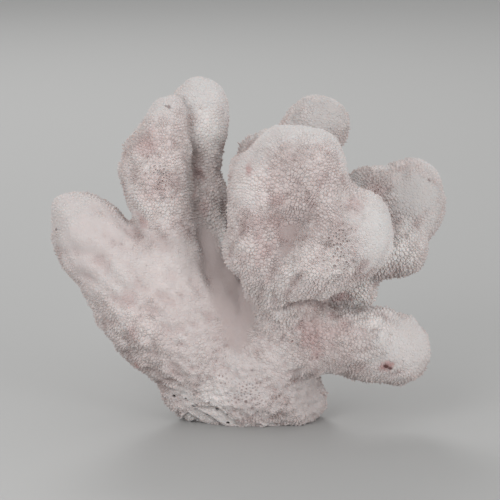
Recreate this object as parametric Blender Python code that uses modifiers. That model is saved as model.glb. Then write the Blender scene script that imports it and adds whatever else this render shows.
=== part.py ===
"""Cat's paw coral skeleton, a stout white branching coral cut off flat at its foot.

Metres, +Z up, the cut on z = 0 and the front of the coral towards -Y. Each finger is a run of round
swellings along a smooth curve. One skin is drawn around all of them, rounded in where they meet. It is
then cut flat at the foot, broken along the front of the foot, and sawn at the main forks, so that the
foot, the trunk and each branch are closed solids of their own with a saw cut between them.
"""

import bmesh
import bpy
import numpy as np
from mathutils import Matrix, Vector

# Driving dimensions, in millimetres.
MM = 0.001
RUN_SPACING = 4.0
CREASE_SOFTNESS = 2.2
FIRST_SKIN_CELL = 2.4
SKIN_TRIANGLES = 7000
SAW_CUT = 0.3
CHIP_LENGTH = 12.0
LUMP_HEIGHT = 0.3
LUMP_WIDTH = 16.0
BREAK_DEPTH = 1.6
BREAK_ROUGHNESS = 0.9
# The lip of the broken face: x along the front of the foot and z of the lip there.
BREAK_LIP_X = (-25.0, -22.0, 4.0, 10.0, 16.0, 19.0)
BREAK_LIP_Z = (7.5, 10.0, 9.6, 7.5, 3.5, 2.0)

# The swellings of each finger from its tip down into the foot: x, y, z and radius, in millimetres.
FINGERS = {
    "foot_across": [
        (-30, -8, 13, 7.8), (-16.5, -7, 10, 14), (0, -8, 12, 18.5), (14.5, -6, 9.5, 15.5), (25, -6, 8, 8),
    ],
    "foot_deep": [(-4, 14, 10, 15), (0, 8, 18, 20), (2, 0, 30, 21)],
    "foot_front": [(-27, -8, 32, 16), (-16, -10, 24, 16), (0, -9, 24, 17), (12, -10, 26, 15)],
    "left_ridge": [(-68.5, -6, 82, 13), (-54, -8, 68, 14.5), (-37, -8, 53.5, 16), (-25, -4, 34, 17)],
    "left_corner": [(-76.5, -6, 91.5, 6.5), (-67, -6, 81.5, 12)],
    "left_belly": [
        (-69, -6, 82, 12.7), (-67.3, -6, 75.5, 13.6), (-58, -7, 63, 13.6), (-52.5, -8, 54, 15.1),
        (-43, -9, 45.5, 18.2), (-29, -6, 34.5, 19),
    ],
    "left_heel": [(-46, -8, 30, 5.2), (-38, -8, 33.5, 8.5), (-28, -8, 38, 14)],
    "tall": [
        (-34, -4, 132, 7.5), (-37, -5, 121, 11), (-40, -6, 106.5, 14.5), (-35.8, -6, 88.5, 12.9),
        (-32, -5, 68, 13.5), (-25, -2, 42, 16),
    ],
    "tall_back": [
        (-21, 13, 133, 11.3), (-20.6, 11.5, 122, 11.2), (-21.8, 10, 112, 9.8), (-21.8, 8, 103, 9.5),
        (-19.5, 5, 93, 10.8), (-18.8, 4.5, 84, 11.3),
        (-15, 1, 66, 12.5), (-9, -2, 40, 15),
    ],
    "centre_top": [
        (25, -27, 114.5, 14.5), (19, -21, 99, 14), (17.5, -18, 77, 14), (16, -9, 50, 15), (8, -4, 27, 17),
    ],
    "centre_rim": [(14, -25, 118.3, 11.7), (6, -26, 105, 12)],
    "centre_web": [(27, -28, 107, 11.5), (34, -30, 98, 11), (43, -32, 91, 14)],
    "centre_left": [(4.8, -26, 107.5, 13), (2, -28, 93.5, 11), (5, -27, 78, 11), (13, -15, 54, 12)],
    "centre_knob": [(-3.5, -31, 79, 7.5), (4, -27, 73, 9.5)],
    "centre_right": [(43.3, -33, 83.5, 15.5), (30, -32, 76, 15.5), (19, -24, 67, 15), (14, -9, 48, 15)],
    "back_top": [
        (30.8, 23, 123, 11.6), (19.5, 20.5, 112.5, 11), (7, 16, 108, 12.3), (5.5, 15.5, 93, 11.4),
        (5, 15, 83, 11.8),
        (-1.5, 10, 53, 15.5),
    ],
    "back_corner": [(26, 23, 122.5, 10.5), (22, 20, 112, 10)],
    "right_back": [
        (69.5, 26, 93, 14), (69, 22, 86, 14.5), (54, 22, 90.5, 14), (37, 16, 78.5, 14.5), (17, 10, 58, 15),
        (3.5, 6, 36, 16.5),
    ],
    "right_heel": [(64, 11, 71, 12), (48, 11, 69.5, 13), (30, 10, 65, 14)],
    "small_back": [(47, 11, 53, 7.5), (32, 10.5, 49, 9), (15, 7, 41, 12)],
    "low_right": [
        (61.3, -16, 33, 14.8), (55, -16, 34.8, 15.5), (47, -16, 35.6, 15), (36, -16.5, 37, 13.5),
        (21, -12, 37.5, 15),
        (5, -4, 31.5, 16),
    ],
    "low_knob": [(25, -23, 29.5, 6), (17, -14, 34, 9.5)],
}

# Each saw blade by three corners, in millimetres: two along one edge, and the one across from the first.
SAW_BLADES = {
    "foot_fork": [(-46, -40, 12.5), (35, -40, 21), (-46, 40, 12.5)],
    "low_fork": [(36.6, -36, 55), (35.8, -36, 19.5), (36.6, -1.8, 55)],
    "left_fork": [(-49.4, -32, 90.7), (-69, -32, 42), (-49.4, 24, 90.7)],
    "tall_fork": [(-57, -32, 90.3), (-7, -32, 94.5), (-57, 32, 90.3)],
    "tall_crevice": [(-41, 19.6, 90.9), (-14, -12.8, 91.9), (-41, 19.6, 138)],
    "centre_fork": [(-6, -38, 37.3), (38, -41, 34.1), (-6, 0.8, 78.8)],
    "centre_notch": [(41, -54, 112), (36, -54, 56), (41, -10, 112)],
    "back_fork": [(-9, 0, 95), (19, 0, 86), (-9, 34, 95)],
    "right_fork": [(29.5, -11.3, 96), (38.5, 0.6, 39), (29.5, 34.7, 96)],
}

# Each piece between the saw cuts: a point near its tip, in millimetres, and its colour.
PIECES = {
    "foot": ((0, 0, 4), "B2A9A7"),
    "trunk": ((-20, -8, 55), "BBB1AF"),
    "left_branch": ((-72, -6, 88), "C5BBBA"),
    "tall_branch": ((-35, -5, 135), "BEB1AF"),
    "tall_back_branch": ((-21, 14, 140), "B8AFAD"),
    "centre_branch": ((22, -27, 122), "C3BFBD"),
    "centre_right_branch": ((52, -36, 84), "CDCCC9"),
    "back_branch": ((34, 24, 128), "BAB9B7"),
    "right_back_branch": ((76, 26, 92), "B2A9A6"),
    "low_right_branch": ((68, -18, 30), "C9C5C3"),
}


def swellings(stops):
    """Balls along a Catmull-Rom curve through the stops, each with its own radius."""
    stops = np.array(stops, float)
    ends = np.vstack([2 * stops[0] - stops[1], stops, 2 * stops[-1] - stops[-2]])
    runs = []
    for a, b, c, d in zip(ends, ends[1:], ends[2:], ends[3:]):
        count = max(2, int(np.linalg.norm((c - b)[:3]) / RUN_SPACING))
        t = np.arange(count)[:, None] / count
        cubic = 2 * b + (c - a) * t + (2 * a - 5 * b + 4 * c - d) * t**2 + (3 * b - a - 3 * c + d) * t**3
        runs.append(cubic / 2)
    return np.vstack([*runs, stops[-1:]])


BALLS = {name: swellings(stops) for name, stops in FINGERS.items()}


def height_over_finger(points, balls):
    """Distance to the chain of tapered rods that joins a finger's balls, negative inside."""
    height = np.full(len(points), np.inf)
    for start, end in zip(balls, balls[1:]):
        run = end - start
        along = (points - start[:3]) @ run[:3] / (run[:3] @ run[:3])
        nearest = start + np.clip(along, 0, 1)[:, None] * run
        height = np.minimum(height, np.linalg.norm(points - nearest[:, :3], axis=1) - nearest[:, 3])
    return height


def height_over_skin(points):
    """Distance to the skin, negative inside: the soft minimum of the heights over all the fingers."""
    total = sum(np.exp(-height_over_finger(points, balls) / CREASE_SOFTNESS) for balls in BALLS.values())
    return -CREASE_SOFTNESS * np.log(np.maximum(total, 1e-300))


def height_and_way_out(points):
    """The height over the skin at each point, and the unit vector that points straight out of the skin."""
    step = 0.05
    height = height_over_skin(points)
    slope = np.stack([height_over_skin(points + step * axis) - height for axis in np.eye(3)], axis=1)
    return height, slope / np.linalg.norm(slope, axis=1, keepdims=True)


def lumps(points):
    """Low swells all over the skin: a sum of plane waves in seeded directions."""
    draw = np.random.default_rng(7)
    waves = draw.normal(size=(14, 3))
    lengths = LUMP_WIDTH / draw.uniform(0.6, 1.5, (14, 1))
    waves *= 2 * np.pi / lengths / np.linalg.norm(waves, axis=1, keepdims=True)
    shifts = draw.uniform(0, 2 * np.pi, 14)
    return LUMP_HEIGHT * np.sin(points @ waves.T + shifts).sum(axis=1) / np.sqrt(7)


def mesh_points(mesh):
    """The vertices of a mesh in millimetres, one row each."""
    points = np.empty(len(mesh.vertices) * 3, np.float32)
    mesh.vertices.foreach_get("co", points)
    return points.reshape(-1, 3).astype(float) / MM


def new_object(name, bm, collection):
    mesh = bpy.data.meshes.new(name)
    bm.to_mesh(mesh)
    bm.free()
    obj = bpy.data.objects.new(name, mesh)
    collection.objects.link(obj)
    return obj


def joined_balls(collection):
    """All the swellings as overlapping spheres in one mesh."""
    bm = bmesh.new()
    for balls in BALLS.values():
        for ball in balls:
            place = Matrix.Translation(Vector(ball[:3]) * MM)
            bmesh.ops.create_icosphere(bm, subdivisions=2, radius=ball[3] * MM, matrix=place)
    return new_object("coral", bm, collection)


def apply_modifiers(obj):
    """Puts the mesh that the modifiers make in the place of the object's own mesh."""
    graph = bpy.context.evaluated_depsgraph_get()
    obj.data = bpy.data.meshes.new_from_object(obj.evaluated_get(graph))
    obj.modifiers.clear()


def draw_skin(coral):
    """One closed skin around the spheres, moved onto the smooth surface with its lumps, then thinned out."""
    remesh = coral.modifiers.new("one_skin", "REMESH")
    remesh.mode = "VOXEL"
    remesh.voxel_size = FIRST_SKIN_CELL * MM
    apply_modifiers(coral)

    points = mesh_points(coral.data)
    for _ in range(5):
        height, out = height_and_way_out(points)
        points -= height[:, None] * out
    points += lumps(points)[:, None] * out
    coral.data.vertices.foreach_set("co", (points * MM).astype(np.float32).ravel())
    coral.data.update()

    thin = coral.modifiers.new("fewer_faces", "DECIMATE")
    thin.ratio = SKIN_TRIANGLES / (2 * len(coral.data.polygons))
    apply_modifiers(coral)


def cut_flat(coral):
    """Cuts the foot off on z = 0 and closes it with the flat face that the coral rests on."""
    bm = bmesh.new()
    bm.from_mesh(coral.data)
    everything = bm.verts[:] + bm.edges[:] + bm.faces[:]
    cut = bmesh.ops.bisect_plane(bm, geom=everything, plane_co=(0, 0, 0), plane_no=(0, 0, -1), clear_outer=True)
    rim = [edge for edge in cut["geom_cut"] if isinstance(edge, bmesh.types.BMEdge)]
    bmesh.ops.holes_fill(bm, edges=rim, sides=0)
    bm.to_mesh(coral.data)
    bm.free()


def break_tool(collection):
    """A rough-faced block along the front of the foot, which leaves the broken face under its ledge."""
    across, up = 18, 5
    bm = bmesh.new()
    bmesh.ops.create_grid(bm, x_segments=across, y_segments=up, size=1)
    grid = np.array([vert.co for vert in bm.verts])
    x = BREAK_LIP_X[0] + (grid[:, 0] + 1) / 2 * (BREAK_LIP_X[-1] - BREAK_LIP_X[0])
    z = -4 + (grid[:, 1] + 1) / 2 * (np.interp(x, BREAK_LIP_X, BREAK_LIP_Z) + 4)
    rough = np.random.default_rng(3).uniform(-BREAK_ROUGHNESS, BREAK_ROUGHNESS, len(grid))
    points = np.stack([x, np.full(len(x), -45.0), z], axis=1)
    for _ in range(30):
        points[:, 1] += 0.8 * (height_over_skin(points) + BREAK_DEPTH + rough)
    for vert, point in zip(bm.verts, points):
        vert.co = point * MM
    front = bmesh.ops.extrude_face_region(bm, geom=bm.faces[:])
    moved = [vert for vert in front["geom"] if isinstance(vert, bmesh.types.BMVert)]
    for vert in moved:
        vert.co.y = -45 * MM
    bmesh.ops.recalc_face_normals(bm, faces=bm.faces[:])
    return new_object("foot_break", bm, collection)


def saw_blade(name, corners, collection):
    """A thin flat slab with three of its corners given, as thick as the saw cut."""
    first, second, third = (Vector(corner) * MM for corner in corners)
    bm = bmesh.new()
    bmesh.ops.create_cube(bm, size=1)
    edge, width = second - first, third - first
    through = edge.cross(width).normalized() * SAW_CUT * MM
    for vert in bm.verts:
        share = vert.co
        vert.co = first + edge * (share.x + 0.5) + width * (share.y + 0.5) + through * share.z
    return new_object(name, bm, collection)


def cut_away(coral, tool):
    boolean = coral.modifiers.new(tool.name, "BOOLEAN")
    boolean.operation = "DIFFERENCE"
    boolean.solver = "EXACT"
    boolean.object = tool
    apply_modifiers(coral)


def material_of(name, hex_colour):
    """Bare coral limestone: matt, with no metal in it, in one colour for the whole piece."""
    shares = [int(hex_colour[i : i + 2], 16) / 255 for i in (0, 2, 4)]
    linear = [s / 12.92 if s <= 0.04045 else ((s + 0.055) / 1.055) ** 2.4 for s in shares]
    material = bpy.data.materials.new(name)
    material.use_nodes = True
    surface = material.node_tree.nodes["Principled BSDF"]
    surface.inputs["Base Color"].default_value = (*linear, 1)
    surface.inputs["Roughness"].default_value = 0.9
    surface.inputs["Metallic"].default_value = 0
    material.diffuse_color = (*linear, 1)
    return material


def loose_pieces(coral):
    """The object parted into one object for each closed body."""
    bpy.ops.object.select_all(action="DESELECT")
    coral.select_set(True)
    bpy.context.view_layer.objects.active = coral
    bpy.ops.object.mode_set(mode="EDIT")
    bpy.ops.mesh.select_all(action="SELECT")
    bpy.ops.mesh.separate(type="LOOSE")
    bpy.ops.object.mode_set(mode="OBJECT")
    return list(bpy.context.selected_objects)


def name_pieces(pieces):
    """Gives each piece the name and the material of the entry of PIECES whose point it is nearest to.

    The saw can leave a chip between two cuts that cross. It is no branch, so it is thrown away.
    """
    chips = [piece for piece in pieces if max(piece.dimensions) < CHIP_LENGTH * MM]
    pieces = [piece for piece in pieces if piece not in chips]
    for chip in chips:
        bpy.data.objects.remove(chip)
    points = [mesh_points(piece.data) for piece in pieces]
    for name, (tip, hex_colour) in PIECES.items():
        gaps = [np.linalg.norm(own - tip, axis=1).min() for own in points]
        piece = pieces[int(np.argmin(gaps))]
        piece.name = name
        piece.data.name = name
        piece.data.materials.clear()
        piece.data.materials.append(material_of(name, hex_colour))
        piece.data.shade_smooth()


def main():
    for obj in list(bpy.data.objects):
        bpy.data.objects.remove(obj)
    collection = bpy.data.collections.new("cats_paw_coral")
    cutters = bpy.data.collections.new("cutters")
    bpy.context.scene.collection.children.link(collection)
    bpy.context.scene.collection.children.link(cutters)

    coral = joined_balls(collection)
    draw_skin(coral)
    cut_flat(coral)
    tools = [break_tool(cutters)] + [saw_blade(*blade, cutters) for blade in SAW_BLADES.items()]
    for tool in tools:
        cut_away(coral, tool)
        tool.hide_render = True
        tool.display_type = "WIRE"
    name_pieces(loose_pieces(coral))


main()
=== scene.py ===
"""Cat's paw coral skeleton: its surface of small hooded cups, laid over the solids of the part.

The foot, the trunk and the branches are one skeleton, so their solids are first drawn together into one
smooth skin. The skin is parted into about thirty thousand cells, and every cell is raised into a bead or a
cup with a rim, a pit and a hood. The finished surface is then handed out again, cell by cell, to the
solids it stands for. Lengths in the functions are millimetres, and Blender's own are metres.
"""

import collections

import bmesh
import bpy
import numpy as np
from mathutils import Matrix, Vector


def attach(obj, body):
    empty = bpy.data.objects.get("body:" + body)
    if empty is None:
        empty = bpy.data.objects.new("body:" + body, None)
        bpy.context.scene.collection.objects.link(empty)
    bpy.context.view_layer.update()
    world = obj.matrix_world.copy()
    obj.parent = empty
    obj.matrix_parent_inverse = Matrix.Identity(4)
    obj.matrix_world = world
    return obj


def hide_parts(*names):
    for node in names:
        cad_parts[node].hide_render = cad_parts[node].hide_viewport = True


bl_info = {
    "name": "Cat's paw coral skeleton",
    "version": (1, 0, 0),
    "blender": (4, 5, 0),
    "location": "3D View > Sidebar > Coral",
    "description": "Lays a surface of small cups over the solids of a branching coral skeleton",
    "category": "Object",
}

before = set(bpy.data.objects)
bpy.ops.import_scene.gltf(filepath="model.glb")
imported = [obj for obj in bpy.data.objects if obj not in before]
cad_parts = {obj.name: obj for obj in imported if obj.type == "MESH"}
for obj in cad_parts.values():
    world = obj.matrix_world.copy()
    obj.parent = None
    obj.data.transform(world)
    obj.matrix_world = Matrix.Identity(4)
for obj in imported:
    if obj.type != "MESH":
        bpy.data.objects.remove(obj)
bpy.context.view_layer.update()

MM = 0.001
RANDOM_SEED = 11

# The point in the foot from which all the fingers spread.
GROWTH_CENTRE = np.array([0.0, -3.0, 10.0])

# Each round of smoothing moves a point this share of the way to its neighbours, and this share back.
SMOOTH_IN, SMOOTH_BACK = 0.6, 0.62
# The skin isn't smoothed below the first height, by the flat cut, and is wholly smoothed above the second.
FOOT_KEPT = (1.0, 3.0)
# The net of cells: its first cell and how far its vertices are shaken, in cup spacings, and then how
# many rounds even it out and how far each moves a vertex towards its neighbours.
NET_CELL, NET_SHAKE, NET_ROUNDS, NET_MOVE = 0.98, 0.36, 3, 0.55
# The trunk's surface is two pieces, parted at this x, so that neither has too many triangles.
TRUNK_PARTING_X = -6

# The rings of a cup as shares of the way from its middle to its cell's corners: its rim, the rim of a
# bored hole, and the foot of the pit's wall. A bead is so many times as high as a rim.
RIM_SHARE, BORED_RIM_SHARE, WALL_SHARE, BEAD_OVER_RIM = 0.64, 0.85, 0.4, 2.1
# What each mark takes off the height of the rims and hoods, and off the depth of the pits.
FLATTENED_BY = (("tip", 0.75), ("bare", 0.97), ("broken", 0.8), ("cut", 0.85), ("worn", 0.8), ("porous", 0.7))
SHALLOWED_BY = (("tip", 0.6), ("bare", 0.95), ("broken", 0.2), ("worn", 0.5))
# The least depth of the pits in porous places.
POROUS_DEPTH = 0.6
# The depths between which a pit's wall and floor are painted darker and pinker, partly the tissue's pink and
# partly painted shade, and between which a bored hole is painted black as painted shade.
WALL_TINT_DEPTHS, FLOOR_TINT_DEPTHS, HOLE_SHADE_DEPTHS = (0.02, 0.6), (0.02, 0.7), (1.2, 1.6)

# Marks on the front are placed as the camera sees them: x, and the height z + SEEN_RISE * y.
SEEN_RISE = 0.2127
# A point is seen at a mark if it is less than this far aside of it, and a millimetre aside counts as
# much as so many towards the back.
SIGHT_WIDTH, ASIDE_OVER_BACK = 1.6, 4
# The bare floor of the valley: (x, height, half the width) down its middle, and the y that it lies behind.
VALLEY = (
    (-18.5, 79, 3), (-15, 68, 5), (-10.8, 59.5, 6), (-5.6, 46, 7.5), (-5.6, 36, 5.5), (-5.2, 29, 1),
    (-5.2, 25, -4),
)
VALLEY_FRONT_Y = -27
# The crevice under the centre lobe, as a strip of the same kind, and the y that it lies in front of.
LOBE_CREVICE = ((8.6, 47, 0), (17.2, 48.8, 1), (25.8, 49.7, 1.3), (34.4, 49.2, 1.5), (41, 47.9, 1))
LOBE_CREVICE_BACK_Y = -5
# Places on the front, each (x, height, reach, strength). Here the grains are fine, as on the tips.
SMOOTH_PLACES = (
    (54, 83.5, 20, 1.0), (51, 72, 12, 0.8), (-3.4, 96.7, 10, 0.6), (0, 110, 11, 0.7), (7.7, 121, 13, 0.8),
    (17, 126, 16, 1.0), (28, 125, 16, 1.0), (36.5, 120, 13, 0.8), (39.6, 110, 10, 0.7), (43, 102, 10, 0.7),
    (-18.9, 143, 24, 1.0), (-14, 128, 16, 0.7), (32.3, 133.2, 18, 0.9), (73, 97, 17, 1.0),
    (78, 86, 13, 0.7), (67, 33, 22, 1.0), (58, 24, 14, 0.7), (-36.5, 136.3, 14, 0.8), (-73, 88, 26, 0.8),
)
# Here the cups are worn low.
WORN_PLACES = (
    (-62.4, 72.6, 28, 1.0), (-48, 63, 24, 0.9), (-34.4, 63.8, 26, 0.9), (-27, 45, 22, 0.8),
    (-20, 36, 14, 0.6), (-4.3, 13.2, 24, 0.9), (25.8, 11, 18, 1.0), (12, 22, 14, 0.7), (-28, 22, 12, 0.5),
    (-28, 9, 10, 0.8),
)
# Here there are none.
BARE_PLACES = ((15.0, 80.5, 5.5, 0.9), (14.2, 73.4, 5, 0.8))
# Here they are open pits.
OPEN_PLACES = (
    (57, 98, 15, 0.7), (41, 78, 17, 0.6), (-38.7, 102.4, 13, 0.6), (40, 67, 12, 0.7), (22, 40, 12, 0.5),
)
# Here the dried tissue has left some pink.
PINK_PLACES = (
    (-43, 117.8, 8, 0.7), (-38.7, 99, 11, 0.5), (-45.2, 84.9, 4, 0.9), (-22.4, 105.5, 5, 1.0),
    (-1.3, 106.8, 3, 1.0), (10.8, 92.3, 7, 0.6), (15, 79.1, 9, 0.8), (5.2, 72.5, 8, 0.6),
    (-50.7, 50.6, 6, 0.5), (-49.5, 36.5, 5, 0.6), (42, 91, 6, 0.6), (52.5, 98.9, 8, 0.4),
    (40, 51.9, 5, 1.0), (25.8, 35.2, 9, 0.8), (38.7, 39.6, 6, 0.5), (3.4, 83.5, 6, 0.5), (-20, 90, 5, 0.6),
    (-16, 62, 6, 0.4), (-65, 78, 32, 0.2), (-34, 105, 24, 0.2), (-30, 55, 40, 0.15), (8, 92, 36, 0.2),
    (28, 36, 14, 0.6),
)
# Small stains: dark ones, and red ones around them or on their own.
DARK_SPOTS = (
    (56.2, 22.9, 1.6, 1.0), (-81.7, 81.8, 0.9, 0.8), (-35.0, 134.2, 0.7, 0.6), (-33.7, 132.8, 0.7, 0.6),
    (76.5, 102.9, 0.8, 0.7), (57.6, 21.9, 1.1, 0.9),
)
RED_SPOTS = ((56.5, 22.6, 3.8, 1.0), (-46.9, 23.3, 2.6, 0.8), (-0.9, 105.5, 2.6, 0.6))
# Finely porous places on the foot.
POROUS_PLACES = (
    (-2, 12, 8, 1.0), (-6, 8, 6, 0.8), (-12, 16.5, 6, 0.7), (2, 6, 6, 0.8), (-30, 8, 7, 0.5),
    (8, 3, 5, 0.5),
)
# Painted shade: crevices, and the shade under overhangs, painted dark.
CREVICE_SHADE_PLACES = (
    (20.2, 17.6, 6, 0.7), (26, 18.5, 5, 0.7), (37.4, 47.9, 3.5, 0.9), (-22.4, 105, 3, 0.7),
    (15, 1, 2.5, 0.8), (26, 9, 15, 0.35),
)
# Painted light: places painted paler, as if lit, where the lights leave the coral in shade.
PAINTED_LIGHT_PLACES = (
    (62, 72.5, 15, 1.0), (47, 53, 12, 1.0), (-16, 9.2, 11, 0.6), (-27, 9, 8, 0.6), (-17, 122, 13, 0.8),
    (50, 42, 10, 0.5), (0, 98, 12, 0.7), (-40, 110, 18, 0.55), (-33, 64, 18, 0.3), (-46, 42, 12, 0.3),
    (-15, 76, 9, 0.6), (30, 65, 12, 0.4), (-40, 91, 14, 0.5), (-13, 78, 10, 1.0), (58, 68, 10, 0.6),
    (17, 67, 8, 0.5),
)
# Where the hoods stand up the most: along the edges of the fingers.
SPINY_PLACES = (
    (0, 121.8, 11, 1.0), (-9.5, 110, 13, 0.8), (-6.5, 99, 9, 0.8), (-50.7, 116.5, 11, 0.9),
    (-52, 100, 9, 0.8), (-62, 94.5, 11, 0.9), (51.6, 107.7, 11, 0.4), (62.4, 61.6, 9, 0.8),
    (43, 17.6, 8, 0.6), (42, 110, 6, 0.6),
)
# Painted shade: places painted darker where shade falls, on the far tips at the back and under overhangs.
PAINTED_SHADE_PLACES = ((32, 131, 20, 0.5), (73, 97, 20, 0.45), (26, 9, 16, 0.3), (-2, 40, 9, 0.3), (52, 30, 9, 0.3))
# The lip over the broken face along the front of the foot: x, and the height of the lip there.
BREAK_LIP_X = (-31, -27.5, -21.5, -15, -12, -8, -4, 2, 8, 14, 18)
BREAK_LIP_HEIGHT = (-2, 1.8, 4.8, 5.7, 5.3, 0.5, -3.2, -2.8, -1.8, -3, -4.5)
# Its ledges: the way across them as (x, height), where the first starts, and the distance from one to the
# next. Each falls off over this share of it, is this high, and lies this far behind the skin.
LEDGE_ACROSS, LEDGE_START, LEDGE_SPACING = (0.57, 0.82), 4.2, 4.6
LEDGE_FALL, LEDGE_HEIGHT, LEDGE_SET_BACK = 0.75, 2.0, 1.8
# Holes bored by worms around the foot: x, height and size. A hole is so many sizes deep, so many pits
# wide, and has a rim this high.
BORE_DEPTH, BORE_WIDTH, BORE_RIM = 3.2, 1.9, 0.05
BORE_HOLES = (
    (-32.7, 8.8, 0.8), (-27.1, 8.8, 0.7), (-28.4, 11, 0.5), (-24.1, 4.4, 0.8), (-14.6, 3.1, 0.75),
    (-17.6, 0.4, 0.7), (-9.9, 1.8, 0.8), (-15.5, -2.6, 0.65), (-9.9, -2.6, 0.5), (-23.6, 10.5, 0.45),
    (-2.2, 7.9, 0.35), (3.4, 3.5, 0.45),
)

# The colours laid over the coral's own, one over the other: the mark that each follows, the mark's values
# where it starts and where it is full, how much of it there is then, and the colour. Some of them are
# painted light or painted shade, as noted at each.
COATS = (
    ("mottle", 0.0, 1.0, 0.5, "#BFB5B3"),
    ("tip", 0.0, 1.0, 0.8, "#CCCAC9"),
    ("low", 0.0, 1.0, 0.7, "#B8AEAC"),
    ("worn", 0.0, 1.0, 0.5, "#D0CAC9"),
    # This coat is partly pink and partly painted shade: it darkens the sunk places, the most under the centre
    # lobe.
    ("furrow", 0.0, 1.0, 0.45, "#B3A19F"),
    # This coat is painted light: it lightens places that lie in shade.
    ("pale", 0.0, 1.0, 0.9, "#E6E2E0"),
    # This coat is painted shade: it darkens the far tips and places under overhangs.
    ("painted_shade", 0.0, 1.0, 0.8, "#A29D9B"),
    ("pink", 0.0, 1.0, 0.7, "#B0908E"),
    # This coat is partly the tissue's pink and partly painted shade, darker the deeper the hollow.
    ("hollow", 0.2, 2.6, 0.8, "#A89A98"),
    # This coat greys the bare floors, and darkens the deep valley as painted shade.
    ("bare", 0.0, 1.0, 0.85, "#AFA2A0"),
    ("cup_tone", 0.0, 1.0, 0.2, "#BDB1AF"),
    # This coat is partly the tissue's pink and partly painted shade in the pits, darker the deeper the pit.
    ("pit", 0.1, 1.0, 0.65, "#8A7370"),
    ("broken", 0.0, 1.0, 0.7, "#CFCAC8"),
    # This coat is painted shade in the crevices and under the centre lobe.
    ("crevice", 0.0, 1.0, 0.6, "#7E706E"),
    ("red", 0.0, 1.0, 0.7, "#A87470"),
    ("dark", 0.0, 1.0, 0.9, "#4A2A28"),
    # This coat is painted shade: the deep bored holes are painted nearly black.
    ("pit", 1.1, 1.5, 1.0, "#2E2623"),
)
# The width of the pink clouds and of the crystals, in mm. A noise's cell is two of them wide.
CLOUD_WIDTH, CRYSTAL_WIDTH = 11.0, 0.35

# The stage: how far the floor goes each way and the point that the lights aim at, in metres, the angle
# that each light spreads over, and the camera's sensor width in mm.
FLOOR_REACH = 4
LIGHTS_AIM = (0, 0, 0.07)
LIGHT_SPREAD = np.radians(130)
SENSOR_WIDTH = 36


def linear(hex_colour):
    """An sRGB hex colour as the linear values that a shader socket takes, with alpha 1."""
    shares = [int(hex_colour[i : i + 2], 16) / 255 for i in (1, 3, 5)]
    return (*(s / 12.92 if s <= 0.04045 else ((s + 0.055) / 1.055) ** 2.4 for s in shares), 1.0)


def unit(vectors):
    """Each row divided by its length."""
    return vectors / np.maximum(np.linalg.norm(vectors, axis=-1, keepdims=True), 1e-12)


def ramp(values, low, high):
    """0 below low, 1 above high, and between them the smooth step 3t^2 - 2t^3."""
    t = np.clip((values - low) / (high - low), 0, 1)
    return t * t * (3 - 2 * t)


def waves(points, length, seed, count=16):
    """Smooth noise of about -1 to 1: a sum of sine waves in random directions, each near that length."""
    draw = np.random.default_rng(seed)
    directions = unit(draw.normal(size=(count, 3)))
    numbers = directions * 2 * np.pi / length * draw.uniform(0.7, 1.4, (count, 1))
    return np.sin(points @ numbers.T + draw.uniform(0, 2 * np.pi, count)).sum(axis=1) / np.sqrt(count)


def points_of(mesh):
    """The mesh's vertices in millimetres, one row each."""
    points = np.empty(len(mesh.vertices) * 3, np.float32)
    mesh.vertices.foreach_get("co", points)
    return points.reshape(-1, 3).astype(float) / MM


def edges_of(mesh):
    """The two vertices of each edge, one row each."""
    edges = np.empty(len(mesh.edges) * 2, np.int32)
    mesh.edges.foreach_get("vertices", edges)
    return edges.reshape(-1, 2)


def triangles_of(mesh):
    """The three vertices of each triangle, one row each."""
    mesh.calc_loop_triangles()
    triangles = np.empty(len(mesh.loop_triangles) * 3, np.int32)
    mesh.loop_triangles.foreach_get("vertices", triangles)
    return triangles.reshape(-1, 3)


def normals_of(mesh):
    """The unit normal at each vertex, one row each."""
    normals = np.empty(len(mesh.vertices) * 3, np.float32)
    mesh.vertex_normals.foreach_get("vector", normals)
    return normals.reshape(-1, 3).astype(float)


def put_points(mesh, points):
    """Moves the mesh's vertices to the points, which are in millimetres."""
    mesh.vertices.foreach_set("co", (points * MM).astype(np.float32).ravel())
    mesh.update()


def mesh_from(name, points, triangles):
    """A new mesh of the points, which are in millimetres, and the triangles."""
    mesh = bpy.data.meshes.new(name)
    mesh.from_pydata((points * MM).astype(np.float32), [], triangles)
    mesh.update()
    return mesh


def evaluated(obj):
    """The mesh that the object's modifiers make, in the place of the object, which is removed."""
    graph = bpy.context.evaluated_depsgraph_get()
    mesh = bpy.data.meshes.new_from_object(obj.evaluated_get(graph))
    bpy.data.objects.remove(obj)
    return mesh


def working_object(name, mesh):
    """An object that holds the mesh while modifiers work on it."""
    obj = bpy.data.objects.new(name, mesh)
    bpy.context.scene.collection.objects.link(obj)
    return obj


def onto(points, mesh):
    """Each point moved to the nearest point of the mesh's surface."""
    surface = working_object("surface", mesh)
    moved = working_object("points", mesh_from("points", points, []))
    wrap = moved.modifiers.new("onto_surface", "SHRINKWRAP")
    wrap.wrap_method = "NEAREST_SURFACEPOINT"
    wrap.target = surface
    result = points_of(evaluated(moved))
    bpy.data.objects.remove(surface)
    return result


def neighbour_mean(values, edges):
    """At each vertex, the mean of the values at the vertices joined to it by an edge."""
    ends = np.concatenate([edges, edges[:, ::-1]])
    count = np.maximum(np.bincount(ends[:, 0], minlength=len(values)), 1)
    sums = [np.bincount(ends[:, 0], weights=column[ends[:, 1]], minlength=len(values)) for column in values.T]
    return np.stack(sums, axis=1) / count[:, None]


def smoothed(points, edges, rounds, keep_size=True):
    """Points moved towards the mean of their neighbours and, to keep the size, a little back each round."""
    for _ in range(rounds):
        points = points + SMOOTH_IN * (neighbour_mean(points, edges) - points)
        if keep_size:
            points = points - SMOOTH_BACK * (neighbour_mean(points, edges) - points)
    return points


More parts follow.
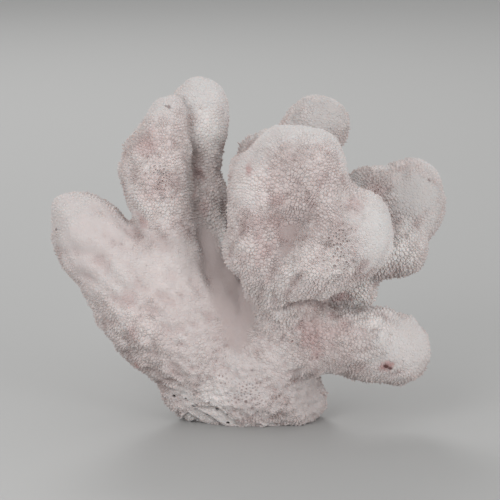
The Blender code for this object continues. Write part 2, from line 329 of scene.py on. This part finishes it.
def drawn_together(settings):
    """One closed smooth skin over all the solids, as fine as the skin cell.

    Each solid is blown up by a little more than half the saw cut, so that the cuts close when the solids
    are remeshed as one. The facets are then smoothed away, and the skin is moved back by the same amount,
    or by half of it by the flat cut.
    """
    bm = bmesh.new()
    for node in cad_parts.values():
        bm.from_mesh(node.data)
    bmesh.ops.remove_doubles(bm, verts=bm.verts[:], dist=0.01 * MM)
    mesh = bpy.data.meshes.new("solids")
    bm.to_mesh(mesh)
    bm.free()
    solids = working_object("solids", mesh)
    grow = solids.modifiers.new("close_saw_cuts", "DISPLACE")
    grow.strength = settings.saw_cut_closing
    grow.mid_level = 0
    remesh = solids.modifiers.new("one_skin", "REMESH")
    remesh.mode = "VOXEL"
    remesh.voxel_size = settings.skin_cell
    skin = evaluated(solids)

    points, edges = points_of(skin), edges_of(skin)
    low = 1 - ramp(points[:, 2], *FOOT_KEPT)[:, None]
    soft = smoothed(points, edges, settings.smoothing_rounds)
    points = points * low + soft * (1 - low)
    put_points(skin, points)
    points = points - normals_of(skin) * settings.saw_cut_closing / MM * (1 - 0.5 * low)
    points[:, 2] = np.maximum(points[:, 2], 0)
    put_points(skin, points)
    return skin


def cell_net(skin, settings):
    """A net of triangles over the skin, one vertex for each cup, about as far apart as the cups.

    The net starts as a coarse remesh. Its vertices are shaken about so that no rows are left. Edges are
    then turned to make the triangles even, and vertices moved to the middle of their neighbours.
    """
    coarse = working_object("cell_net", skin.copy())
    remesh = coarse.modifiers.new("cells", "REMESH")
    remesh.mode = "VOXEL"
    remesh.voxel_size = settings.cup_spacing * NET_CELL
    mesh = evaluated(coarse)
    points = points_of(mesh)
    draw = np.random.default_rng(RANDOM_SEED)
    shake = draw.normal(size=points.shape) * NET_SHAKE * settings.cup_spacing / MM
    normals = normals_of(mesh)
    points += shake - (shake * normals).sum(axis=1, keepdims=True) * normals
    put_points(mesh, points)
    for _ in range(NET_ROUNDS):
        bm = bmesh.new()
        bm.from_mesh(mesh)
        bmesh.ops.triangulate(bm, faces=bm.faces[:])
        bmesh.ops.beautify_fill(
            bm, faces=bm.faces[:], edges=bm.edges[:], use_restrict_tag=False, method="ANGLE"
        )
        bm.to_mesh(mesh)
        bm.free()
        points = points_of(mesh)
        points += NET_MOVE * (neighbour_mean(points, edges_of(mesh)) - points)
        put_points(mesh, onto(points, skin))
    return mesh


def depth_in_strip(across, up, line):
    """How far inside a strip each (x, z) spot is: the half width less the distance to the middle line.

    It is the most over the line's parts, each taken as a rod clamped to its ends.
    """
    spot = np.stack([across, up], axis=1)
    deepest = np.full(len(spot), -np.inf)
    for start, end in zip(line, line[1:]):
        start, run = np.array(start, float), np.subtract(end, start).astype(float)
        along = np.clip((spot - start[:2]) @ run[:2] / (run[:2] @ run[:2]), 0, 1)
        nearest = start + along[:, None] * run
        deepest = np.maximum(deepest, nearest[:, 2] - np.linalg.norm(spot - nearest[:, :2], axis=1))
    return deepest


def seen_at(points, x, height):
    """The index of the point that the camera sees at that x and height: near the sight line, in front."""
    aside = np.hypot(points[:, 0] - x, points[:, 2] + SEEN_RISE * points[:, 1] - height)
    return int(np.argmin(np.where(aside < SIGHT_WIDTH, ASIDE_OVER_BACK * aside + points[:, 1], np.inf)))


def broken_face(points):
    """How far each point is on the broken face of the foot, 0 to 1, and how far its ledges stand out, in mm.

    The ledges run down to the right. Across them, each rises steeply and then falls off slowly.
    """
    x, y, z = points.T
    height = z + SEEN_RISE * y
    lip = np.interp(x, BREAK_LIP_X, BREAK_LIP_HEIGHT) + 0.4 * waves(points, 7, 22)
    share = (1 - ramp(height - lip, -0.7, 0.2)) * ramp(-y, 3, 8) * ramp(z, 0.1, 0.3)
    across = LEDGE_ACROSS[0] * x + LEDGE_ACROSS[1] * height + LEDGE_START + 0.5 * waves(points, 8, 33)
    place = np.mod(across / LEDGE_SPACING, 1)
    step = np.where(place < LEDGE_FALL, 1 - place / LEDGE_FALL, (place - LEDGE_FALL) / (1 - LEDGE_FALL))
    return share, LEDGE_HEIGHT * step - LEDGE_SET_BACK + 0.15 * waves(points, 2.6, 34)


def under_lobe(points):
    """1 in the crevice under the centre lobe and 0 away from it."""
    x, y, z = points.T
    depth = depth_in_strip(x, z + SEEN_RISE * y, LOBE_CREVICE) + 0.4 * waves(points, 6, 27)
    return ramp(depth, -1, 1) * (y < LOBE_CREVICE_BACK_Y)


def near_places(points, places, fade_from=0.35, ragged=0.25):
    """How strongly the places mark each point, the most that any of them does.

    A place marks with its strength up to the share fade_from of its reach, and fades out to its reach. Its
    edge is uneven by the share ragged.
    """
    uneven = 1 + ragged * waves(points, 7, 23)
    marked = np.zeros(len(points))
    for x, height, reach, strength in places:
        middle = points[seen_at(points, x, height)]
        gap = np.linalg.norm(points - middle, axis=1) / reach * uneven
        marked = np.maximum(marked, strength * (1 - ramp(gap, fade_from, 1)))
    return marked


def surface_marks(points, normals):
    """What the surface is like at each point, each from 0 to 1, as a dict of arrays.

    Of the shapes, tip is on the smooth tips, bare on the floors without cups, worn where the cups are low,
    open where they are pits, porous where the pits are fine, spiny where the hoods are high, broken on the
    broken face of the foot, and cut on the cut under it. Of the colours, pink, dark and red are stains,
    mottle is lighter and darker places, and low is the greyer lower part; crevice is painted shade in the
    crevices, pale is painted light on places that lie in shade, and the mark for painted shade darkens the
    far tips and places under overhangs. On the back, tips are where the surface faces away from the growth
    centre.
    """
    x, y, z = points.T
    away = unit(points - GROWTH_CENTRE)
    facing_out = ramp((normals * away).sum(axis=1), 0.62, 0.97) * ramp(z, 22, 34) * ramp(y, 2, 16)
    tip = np.maximum(0.85 * facing_out, near_places(points, SMOOTH_PLACES, 0.2))
    bare = ramp(depth_in_strip(x, z + SEEN_RISE * y, VALLEY) + waves(points, 8, 21), -3, 2)
    bare *= (y > VALLEY_FRONT_Y) * ramp(-normals[:, 1], 0.1, 0.4)
    bare = np.maximum(bare, near_places(points, BARE_PLACES))
    speckle = 0.5 * waves(points, 5, 25) + 0.7 * waves(points, 11, 26)
    return {
        "tip": tip,
        "bare": bare,
        "worn": near_places(points, WORN_PLACES),
        "open": near_places(points, OPEN_PLACES, 0.1),
        "pink": near_places(points, PINK_PLACES, 0.1, 0.35),
        "dark": near_places(points, DARK_SPOTS, 0.3, 0.1),
        "red": near_places(points, RED_SPOTS, 0.3, 0.2),
        "low": 1 - ramp(z + 5 * waves(points, 25, 24), 14, 52),
        "porous": near_places(points, POROUS_PLACES, 0.2),
        # Painted shade in the crevices and in the crevice under the centre lobe.
        "crevice": np.maximum(near_places(points, CREVICE_SHADE_PLACES, 0.1), 0.8 * under_lobe(points)),
        "spiny": near_places(points, SPINY_PLACES, 0.4),
        # Painted light on places that lie in shade.
        "pale": near_places(points, PAINTED_LIGHT_PLACES, 0.2),
        # Painted shade on the far tips and under overhangs.
        "painted_shade": near_places(points, PAINTED_SHADE_PLACES, 0.2),
        "mottle": ramp(speckle, -0.6, 1.2),
        "broken": broken_face(points)[0],
        "cut": (z < 0.25).astype(float),
    }


def knobs_over(middles, normals, marks):
    """How far the skin stands out under each cup, in mm, as a sum of smooth noises.

    There are low knobs a few millimetres wide, ridges along the way that the fingers grew, from a noise
    whose space is stretched along it, and rougher knobs on the underside of the left fan. Bare places and
    the crevice are sunk. The tips are spared most of it, and the cut and the broken face all of it.
    """
    out_from_foot = middles - GROWTH_CENTRE
    along_growth = 60 * unit(out_from_foot) + 0.3 * out_from_foot
    knobs = 0.35 * waves(middles, 11, 31) + 0.15 * waves(middles, 5, 32) + 0.5 * waves(along_growth, 6.5, 35)
    knobs *= (1 - 0.8 * marks["tip"]) * (1 - 0.7 * marks["bare"])
    underside = ramp(-normals[:, 2], -0.1, 0.5) * ramp(-middles[:, 0], 15, 35)
    underside *= 1 - ramp(middles[:, 2], 50, 70)
    knobs += underside * (0.5 * waves(middles, 7, 36) + 0.3 * waves(middles, 3.8, 37))
    knobs -= 0.8 * near_places(middles, BARE_PLACES) + 1.2 * under_lobe(middles)
    return knobs * (1 - marks["cut"]) * (1 - marks["broken"])


def left_by(marks, losses):
    """The share that is left where each mark takes away its part: the product of 1 - part * mark."""
    return np.prod([1 - part * marks[name] for name, part in losses], axis=0)


def cup_sizes(middles, marks, settings, draw):
    """The sizes of each cup in mm, drawn at random around the settings and changed by the marks.

    Openness parts the cups: at 0 one is a closed bead, and at 1 an open pit with no bead in it.
    """
    count = len(middles)
    size = draw.normal(1, 0.2, count).clip(0.5, 1.5)
    lively = left_by(marks, FLATTENED_BY) * (1 - 0.3 * ramp(waves(middles, 26, 41), 0.2, 1.2))
    rim_height = settings.rim_height / MM * size * lively
    hood_height = settings.hood_height / MM * size * lively * draw.uniform(0.4, 1.4, count)
    hood_height *= 1 + 0.9 * marks["spiny"]
    openness = 0.25 + 0.3 * waves(middles, 15, 42) + draw.normal(0, 0.2, count)
    openness = np.clip(openness + marks["open"] + marks["porous"] - 0.4 * marks["tip"], 0, 1)
    pit_depth = settings.pit_depth / MM * draw.normal(1, 0.25, count).clip(0.4, 1.7)
    pit_depth *= left_by(marks, SHALLOWED_BY) * openness * (1 + 0.5 * marks["open"])
    pit_depth = np.maximum(pit_depth, POROUS_DEPTH * marks["porous"])
    bead_height = rim_height * BEAD_OVER_RIM * (1 - openness)
    pit_size = draw.normal(1, 0.13, count).clip(0.7, 1.3) * (1 - 0.4 * marks["porous"])
    wide = (marks["broken"] > 0.5) & (draw.random(count) < 0.25)
    pit_size = np.where(wide, pit_size * 1.25, pit_size)
    bored = np.zeros(count, bool)
    for x, height, hole_size in BORE_HOLES:
        hole = seen_at(middles, x, height)
        bored[hole] = True
        pit_depth[hole] = BORE_DEPTH * hole_size
        pit_size[hole] = BORE_WIDTH
        rim_height[hole] = BORE_RIM
        hood_height[hole] = bead_height[hole] = 0
    return lively, rim_height, hood_height, bead_height, pit_depth, pit_size, bored


def half_edges(triangles, count):
    """For each half-edge v to w of the net: v, w, and the corner of v in the triangle on its other side.

    Corners are numbered along the rows of triangles, and a half-edge has the number of its corner v. Its
    twin runs w to v, and the corner that the twin ends at is the one after the twin's own.
    """
    here, there = triangles.ravel(), np.roll(triangles, -1, axis=1).ravel()
    key, twin_key = here.astype(np.int64) * count + there, there.astype(np.int64) * count + here
    order = np.argsort(key)
    twin = order[np.searchsorted(key[order], twin_key)]
    after = np.roll(np.arange(len(here)).reshape(-1, 3), -1, axis=1).ravel()
    return here, there, after[twin]


Surface = collections.namedtuple("Surface", "points wedges outer_corners cups middles attributes")


def coral_surface(skin, settings):
    """The whole finished surface as arrays.

    Every vertex v of the cell net is the middle of a cup, and the centre c of each triangle around it is a
    corner of the cup's cell. Between two corners in turn lies one wedge of the cell. Going inwards from
    the corners, the rings of a wedge are the groove at c, the rim at v + RIM_SHARE (c - v), the pit's wall
    at v + WALL_SHARE (c - v) and the pit's floor at v, each raised or sunk along the normal. A wedge has
    five triangles. Its outer_corners are its two points in the groove, and its cups are the one that it
    belongs to and the one across the groove.
    """
    net = cell_net(skin, settings)
    middles, triangles = points_of(net), triangles_of(net)
    count, corners = len(middles), len(triangles)
    draw = np.random.default_rng(RANDOM_SEED + 1)

    # hollow is how deep the skin lies below its heavily smoothed self, in millimetres. Its coat paints the
    # hollows darker and greyish pink: partly the pink that the tissue left there, partly painted shade.
    skin_points, skin_edges = points_of(skin), edges_of(skin)
    flat_points = smoothed(skin_points, skin_edges, settings.hollow_rounds, keep_size=False)
    depth_at_skin = ((flat_points - skin_points) * normals_of(skin)).sum(axis=1)
    owner = nearest_skin_vertex(middles, skin_points)
    normals = normals_of(skin)[owner]
    marks = surface_marks(middles, normals)
    marks["hollow"] = depth_at_skin[owner]
    knobs = knobs_over(middles, normals, marks)
    # The sunk places, painted darker by their coat: partly pink, partly painted shade.
    marks["furrow"] = ramp(-knobs, 0.1, 0.9)
    middles = middles + knobs[:, None] * normals
    centres = middles[triangles].mean(axis=1)
    centre_normals = unit(normals[triangles].mean(axis=1))

    lively, rim_height, hood_height, bead_height, pit_depth, pit_size, bored = cup_sizes(
        middles, marks, settings, draw
    )
    upward = unit(middles - GROWTH_CENTRE)
    upward = upward + draw.normal(0, 0.25, upward.shape)
    upward = unit(upward - (upward * normals).sum(axis=1, keepdims=True) * normals)

    # One row for each corner of each triangle: the cup at that corner, and the triangle. The hood stands
    # on the side of the cup towards the foot, and leans over it.
    cup = triangles.ravel()
    centre_of = np.repeat(np.arange(corners), 3)
    reach = centres[centre_of] - middles[cup]
    flat_reach = unit(reach - (reach * normals[cup]).sum(axis=1, keepdims=True) * normals[cup])
    lower_side = ramp(-(flat_reach * upward[cup]).sum(axis=1), -0.2, 0.9)
    hood = hood_height[cup] * lower_side
    lean = upward[cup] * hood[:, None]
    rim_share = np.where(bored[cup], BORED_RIM_SHARE, RIM_SHARE + draw.normal(0, 0.03, len(cup)))
    rim = middles[cup] + rim_share[:, None] * reach + 0.5 * lean
    rim += (rim_height[cup] + hood)[:, None] * normals[cup]
    wall = middles[cup] + (WALL_SHARE * pit_size[cup])[:, None] * reach + 0.3 * lean
    wall += (0.85 * bead_height[cup] - 0.45 * pit_depth[cup])[:, None] * normals[cup]
    floor = middles + 0.25 * hood_height[:, None] * upward + (bead_height - pit_depth)[:, None] * normals
    groove = settings.groove_depth / MM * lively[triangles].mean(axis=1) * draw.uniform(0.5, 1.3, corners)
    centres = centres - groove[:, None] * centre_normals

    points = np.concatenate([centres, rim, wall, floor])
    outwards = np.concatenate([centre_normals, normals[cup], normals[cup], normals])
    broken, ledges = broken_face(points)
    points += (broken * ledges)[:, None] * outwards
    points[:, 2] = np.maximum(points[:, 2], 0)

    here, there, b = half_edges(triangles, count)
    a = np.arange(len(cup))
    ca, cb = centre_of, centre_of[b]
    ra, rb = corners + a, corners + b
    wa, wb = ra + len(cup), rb + len(cup)
    middle = corners + 2 * len(cup) + here
    wedges = np.stack([cb, ca, ra, cb, ra, rb, rb, ra, wa, rb, wa, wb, wb, wa, middle], axis=1)

    def spread(values):
        return np.concatenate([values[triangles].mean(axis=1), values[cup], values[cup], values])

    painted = {coat[0] for coat in COATS}
    attributes = {name: spread(values) for name, values in marks.items() if name in painted}
    # Painted darker in the pits, partly the tissue's pink and partly painted shade, and black in the bored
    # holes as painted shade.
    wall_tint = 0.75 * ramp(pit_depth, *WALL_TINT_DEPTHS) + 0.75 * ramp(pit_depth, *HOLE_SHADE_DEPTHS)
    floor_tint = ramp(pit_depth, *FLOOR_TINT_DEPTHS) + 0.5 * ramp(pit_depth, *HOLE_SHADE_DEPTHS)
    untinted = np.zeros(corners + len(cup))
    attributes["pit"] = np.concatenate([untinted, wall_tint[cup], floor_tint])
    attributes["cup_tone"] = spread(draw.random(count))
    return Surface(points, wedges.reshape(-1, 5, 3), (cb, ca), (here, there), middles, attributes)


def nearest_skin_vertex(points, skin_points):
    """For each point, the index of the skin vertex that shares its place, found by cells of a 2 mm grid.

    The skin's vertices are sorted by grid cell. Each point then looks through the vertices of the 27 cells
    around it, one offset and one place in the cell at a time for all the points together.
    """
    cell = 2.0
    low = skin_points.min(axis=0) - 2 * cell
    span = np.ceil((skin_points.max(axis=0) - low) / cell).astype(np.int64) + 4
    steps = np.array([span[1] * span[2], span[2], 1])
    codes = np.floor((skin_points - low) / cell).astype(np.int64) @ steps
    order = np.argsort(codes, kind="stable")
    codes = codes[order]
    home = np.floor((points - low) / cell).astype(np.int64)
    best, owner = np.full(len(points), np.inf), np.zeros(len(points), np.int64)
    for offset in np.ndindex(3, 3, 3):
        wanted = (home + np.array(offset) - 1) @ steps
        first, last = np.searchsorted(codes, wanted), np.searchsorted(codes, wanted, side="right")
        for place in range(int((last - first).max())):
            index = order[np.minimum(first + place, len(order) - 1)]
            gap = np.where(first + place < last, ((skin_points[index] - points) ** 2).sum(axis=1), np.inf)
            closer = gap < best
            best, owner = np.where(closer, gap, best), np.where(closer, index, owner)
    return owner


def owner_of_cells(middles):
    """For each cell, the number of the solid whose surface lies nearest to it."""
    names = sorted(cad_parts)
    nearest = [onto(middles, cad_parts[name].data.copy()) for name in names]
    return names, np.argmin([np.linalg.norm(points - middles, axis=1) for points in nearest], axis=0)


def joined_groups(count, pairs):
    """A group number for each of count things, the same for things that the pairs join."""
    group = np.arange(count)
    while True:
        least = np.minimum(group[pairs[:, 0]], group[pairs[:, 1]])
        new = group.copy()
        np.minimum.at(new, pairs[:, 0], least)
        np.minimum.at(new, pairs[:, 1], least)
        new = new[new]
        if (new == group).all():
            return group
        group = new


def closed_piece(surface, mine):
    """The cells in mine, closed where other cells go on: points, triangles, how many close it, attributes.

    Each open rim is closed by a fan to the rim's mean point. The fan lies inside the coral.
    """
    points, attributes = surface.points, surface.attributes
    (cb, ca), (here, there) = surface.outer_corners, surface.cups
    own = mine[here]
    rim = own & ~mine[there]
    corners = np.stack([ca[rim], cb[rim]], axis=1)
    used, index = np.unique(corners, return_inverse=True)
    index = index.reshape(-1, 2)
    faces = surface.wedges[own].reshape(-1, 3)
    if len(used):
        group = joined_groups(len(used), index)
        loops, loop = np.unique(group, return_inverse=True)
        members = np.bincount(loop)[:, None]
        middle = np.stack([np.bincount(loop, weights=points[used, i]) for i in range(3)], axis=1) / members
        fan = np.stack([corners[:, 1], len(points) + loop[index[:, 0]], corners[:, 0]], axis=1)[:, ::-1]
    else:
        middle, fan = np.zeros((0, 3)), np.zeros((0, 3), np.int64)
    all_points = np.concatenate([points, middle])
    faces_and_fan = np.concatenate([faces, fan])
    kept, renumbered = np.unique(faces_and_fan, return_inverse=True)
    values = {name: np.concatenate([v, np.zeros(len(middle))])[kept] for name, v in attributes.items()}
    return all_points[kept], renumbered.reshape(-1, 3), len(fan), values


def add_node(tree, kind, inputs=None, **values):
    """Adds a shader node, sets its properties from values, and its inputs from numbers or other sockets."""
    node = tree.nodes.new(kind)
    for name, value in values.items():
        setattr(node, name, value)
    for name, value in (inputs or {}).items():
        if isinstance(value, bpy.types.NodeSocket):
            tree.links.new(value, node.inputs[name])
        else:
            node.inputs[name].default_value = value
    return node


def coral_material():
    """Bare aragonite, bleached in the sun: matt white, pinkish grey in the pits and the hollows.

    The real one is a porous crust of fine crystals, so the light goes a little way into it, and it has
    no gloss. What is left of the dried tissue tints the pits and the deep places, and painted shade darkens
    them as well. The bored holes, the crevices and the places under overhangs get painted shade, and places
    that lie in shade get painted light.
    """
    material = bpy.data.materials.new("bleached_coral")
    material.use_nodes = True
    tree = material.node_tree
    surface = tree.nodes["Principled BSDF"]
    place = add_node(tree, "ShaderNodeTexCoord").outputs["Object"]

    # Clouds where the old tissue has left its pink.
    noise = {"Vector": place, "Scale": 1 / (2 * CLOUD_WIDTH * MM), "Detail": 3.0}
    clouds = add_node(tree, "ShaderNodeTexNoise", noise)
    pink = {"Value": clouds.outputs["Fac"], "From Min": 0.42, "From Max": 0.7, "To Max": 0.6}
    pink = add_node(tree, "ShaderNodeMapRange", pink).outputs["Result"]
    colours = {0: pink, 6: linear("#CFC8C6"), 7: linear("#C4B6B4")}
    colour = add_node(tree, "ShaderNodeMix", colours, data_type="RGBA").outputs[2]
    for name, low, high, most, tint in COATS:
        mark = add_node(tree, "ShaderNodeAttribute", attribute_name=name).outputs["Fac"]
        share = {"Value": mark, "From Min": low, "From Max": high, "To Max": most}
        share = add_node(tree, "ShaderNodeMapRange", share).outputs["Result"]
        colours = {0: share, 6: colour, 7: linear(tint)}
        colour = add_node(tree, "ShaderNodeMix", colours, data_type="RGBA").outputs[2]
    tree.links.new(colour, surface.inputs["Base Color"])

    # Grain of the crystals, a few hundredths of a millimetre deep. The real crystals are too fine to show.
    noise = {"Vector": place, "Scale": 1 / (2 * CRYSTAL_WIDTH * MM), "Detail": 2.0}
    grain = add_node(tree, "ShaderNodeTexNoise", noise).outputs["Fac"]
    bump = add_node(tree, "ShaderNodeBump", {"Height": grain, "Strength": 0.5, "Distance": 0.12 * MM})
    tree.links.new(bump.outputs["Normal"], surface.inputs["Normal"])
    surface.inputs["Roughness"].default_value = 0.9
    surface.inputs["Specular IOR Level"].default_value = 0.25
    surface.inputs["Subsurface Weight"].default_value = 0.4
    surface.inputs["Subsurface Radius"].default_value = (1.0, 0.75, 0.65)
    surface.inputs["Subsurface Scale"].default_value = 0.0008
    return material


def floor_material():
    """Matt painted board: plain pale grey, without a pattern or gloss."""
    material = bpy.data.materials.new("pale_floor")
    material.use_nodes = True
    surface = material.node_tree.nodes["Principled BSDF"]
    surface.inputs["Base Color"].default_value = linear("#B0B0AF")
    surface.inputs["Roughness"].default_value = 0.8
    return material


class CoralSettings(bpy.types.PropertyGroup):
    """The sizes of the skin and of the cups on it"""

    skin_cell: bpy.props.FloatProperty(
        name="Skin cell", description="Cell of the smooth skin under the cups",
        default=0.0009, subtype="DISTANCE", unit="LENGTH", precision=5,
    )
    saw_cut_closing: bpy.props.FloatProperty(
        name="Saw cut closing", description="How far each solid is blown up to close the saw cuts",
        default=0.00035, subtype="DISTANCE", unit="LENGTH", precision=5,
    )
    smoothing_rounds: bpy.props.IntProperty(
        name="Smoothing rounds", description="Rounds that smooth the facets of the solids away",
        default=14,
    )
    hollow_rounds: bpy.props.IntProperty(
        name="Hollow rounds", description="Rounds of smoothing that the hollows are measured against",
        default=90,
    )
    cup_spacing: bpy.props.FloatProperty(
        name="Cup spacing", description="Distance between the middles of two cups",
        default=0.0017, subtype="DISTANCE", unit="LENGTH", precision=5,
    )
    rim_height: bpy.props.FloatProperty(
        name="Rim height", description="Height of a cup's rim over the skin",
        default=0.0002, subtype="DISTANCE", unit="LENGTH", precision=5,
    )
    hood_height: bpy.props.FloatProperty(
        name="Hood height", description="Height of the hood over the rim, on the side towards the foot",
        default=0.0006, subtype="DISTANCE", unit="LENGTH", precision=5,
    )
    pit_depth: bpy.props.FloatProperty(
        name="Pit depth", description="Depth of a cup's pit under the skin",
        default=0.0004, subtype="DISTANCE", unit="LENGTH", precision=5,
    )
    groove_depth: bpy.props.FloatProperty(
        name="Groove depth", description="Depth of the grooves between the cups",
        default=0.00012, subtype="DISTANCE", unit="LENGTH", precision=5,
    )


class StageSettings(bpy.types.PropertyGroup):
    """Where the camera stands, and how strong the lights are"""

    camera_elevation: bpy.props.FloatProperty(
        name="Camera elevation", description="Angle of the camera above the horizontal",
        default=np.radians(12), subtype="ANGLE", unit="ROTATION",
    )
    camera_distance: bpy.props.FloatProperty(
        name="Camera distance", description="Distance from the camera to the coral",
        default=1.2, subtype="DISTANCE", unit="LENGTH",
    )
    view_width: bpy.props.FloatProperty(
        name="View width", description="Width that the picture covers at the coral",
        default=0.215, subtype="DISTANCE", unit="LENGTH",
    )
    view_middle: bpy.props.FloatProperty(
        name="View middle", description="Height of the picture's middle over the foot, square to the view",
        default=0.07095, subtype="DISTANCE", unit="LENGTH",
    )
    key_power: bpy.props.FloatProperty(
        name="Key power", description="Power of the soft light at the upper left in front",
        default=0.85, subtype="POWER", unit="POWER",
    )
    fill_power: bpy.props.FloatProperty(
        name="Fill power", description="Power of the soft light at the right in front",
        default=4.4, subtype="POWER", unit="POWER",
    )
    back_power: bpy.props.FloatProperty(
        name="Back power", description="Power of the soft light behind, above the coral",
        default=4.0, subtype="POWER", unit="POWER",
    )


class CORAL_OT_skeleton(bpy.types.Operator):
    """Makes the surface of cups over all the solids, in one closed piece for each solid"""

    bl_idname = "coral.skeleton"
    bl_label = "Coral skeleton"

    def execute(self, context):
        settings = context.scene.coral_settings
        skin = drawn_together(settings)
        surface = coral_surface(skin, settings)
        material = coral_material()
        names, owner = owner_of_cells(surface.middles)
        parts = {}
        for number, name in enumerate(names):
            mine = owner == number
            if name == "trunk":
                left = surface.middles[:, 0] < TRUNK_PARTING_X
                parts["trunk_left_skin"] = (name, mine & left)
                parts["trunk_right_skin"] = (name, mine & ~left)
            else:
                parts[name + "_skin"] = (name, mine)
        for piece_name, (node, mine) in parts.items():
            points, faces, fan_count, values = closed_piece(surface, mine)
            mesh = mesh_from(piece_name, points, faces)
            flat = np.arange(len(faces)) >= len(faces) - fan_count
            mesh.attributes.new("sharp_face", "BOOLEAN", "FACE").data.foreach_set("value", flat)
            for name, value in values.items():
                attribute = mesh.attributes.new(name, "FLOAT", "POINT")
                attribute.data.foreach_set("value", value.astype(np.float32))
            mesh.materials.append(material)
            piece = bpy.data.objects.new(piece_name, mesh)
            context.scene.collection.objects.link(piece)
            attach(piece, "root")
            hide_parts(node)
            print(piece_name, len(faces), "triangles")
        bpy.data.meshes.remove(skin)
        return {"FINISHED"}


class CORAL_OT_stage(bpy.types.Operator):
    """Sets the coral on a plain pale floor in soft light, with the camera in front"""

    bl_idname = "coral.stage"
    bl_label = "Stage and camera"

    def execute(self, context):
        settings = context.scene.coral_stage
        scene = context.scene

        bm = bmesh.new()
        bmesh.ops.create_grid(bm, x_segments=1, y_segments=1, size=FLOOR_REACH)
        mesh = bpy.data.meshes.new("floor")
        bm.to_mesh(mesh)
        bm.free()
        mesh.materials.append(floor_material())
        floor = bpy.data.objects.new("floor", mesh)
        scene.collection.objects.link(floor)

        world = bpy.data.worlds.new("soft_room")
        world.use_nodes = True
        background = world.node_tree.nodes["Background"]
        background.inputs["Color"].default_value = linear("#F0F0F0")
        background.inputs["Strength"].default_value = 0.72
        scene.world = world

        # Each light's place, power and width.
        lights = (
            ("key", (-0.28, -0.56, 0.36), settings.key_power, 0.35),
            ("fill", (1.04, -1.0, 0.2), settings.fill_power, 0.6),
            ("back", (-0.3, 1.3, 1.0), settings.back_power, 0.6),
        )
        for name, place, power, width in lights:
            light = bpy.data.lights.new(name, "AREA")
            light.energy = power
            light.size = width
            light.spread = LIGHT_SPREAD
            lamp = bpy.data.objects.new(name, light)
            lamp.location = place
            lamp.rotation_euler = (Vector(LIGHTS_AIM) - lamp.location).to_track_quat("-Z", "Y").to_euler()
            scene.collection.objects.link(lamp)

        rise = settings.camera_elevation
        upward = Vector((0, np.sin(rise), np.cos(rise)))
        backward = Vector((0, -np.cos(rise), np.sin(rise)))
        camera = bpy.data.cameras.new("camera")
        camera.sensor_width = SENSOR_WIDTH
        camera.lens = SENSOR_WIDTH * settings.camera_distance / settings.view_width
        view = bpy.data.objects.new("camera", camera)
        view.location = settings.view_middle * upward + settings.camera_distance * backward
        view.rotation_euler = (-backward).to_track_quat("-Z", "Y").to_euler()
        scene.collection.objects.link(view)
        scene.camera = view
        scene.view_settings.view_transform = "Standard"
        return {"FINISHED"}


class CORAL_PT_panel(bpy.types.Panel):
    """Lists the sizes, and the two operators that use them"""

    bl_label = "Coral skeleton"
    bl_idname = "CORAL_PT_panel"
    bl_space_type = "VIEW_3D"
    bl_region_type = "UI"
    bl_category = "Coral"

    def draw(self, context):
        layout = self.layout
        for group, operator in (("coral_settings", "coral.skeleton"), ("coral_stage", "coral.stage")):
            settings = getattr(context.scene, group)
            for name in settings.__annotations__:
                layout.prop(settings, name)
            layout.operator(operator)


CLASSES = (CoralSettings, StageSettings, CORAL_OT_skeleton, CORAL_OT_stage, CORAL_PT_panel)


def register():
    for cls in CLASSES:
        bpy.utils.register_class(cls)
    bpy.types.Scene.coral_settings = bpy.props.PointerProperty(type=CoralSettings)
    bpy.types.Scene.coral_stage = bpy.props.PointerProperty(type=StageSettings)


def unregister():
    del bpy.types.Scene.coral_stage
    del bpy.types.Scene.coral_settings
    for cls in reversed(CLASSES):
        bpy.utils.unregister_class(cls)


def main():
    register()
    bpy.ops.coral.skeleton()
    bpy.ops.coral.stage()


if __name__ == "__main__":
    main()
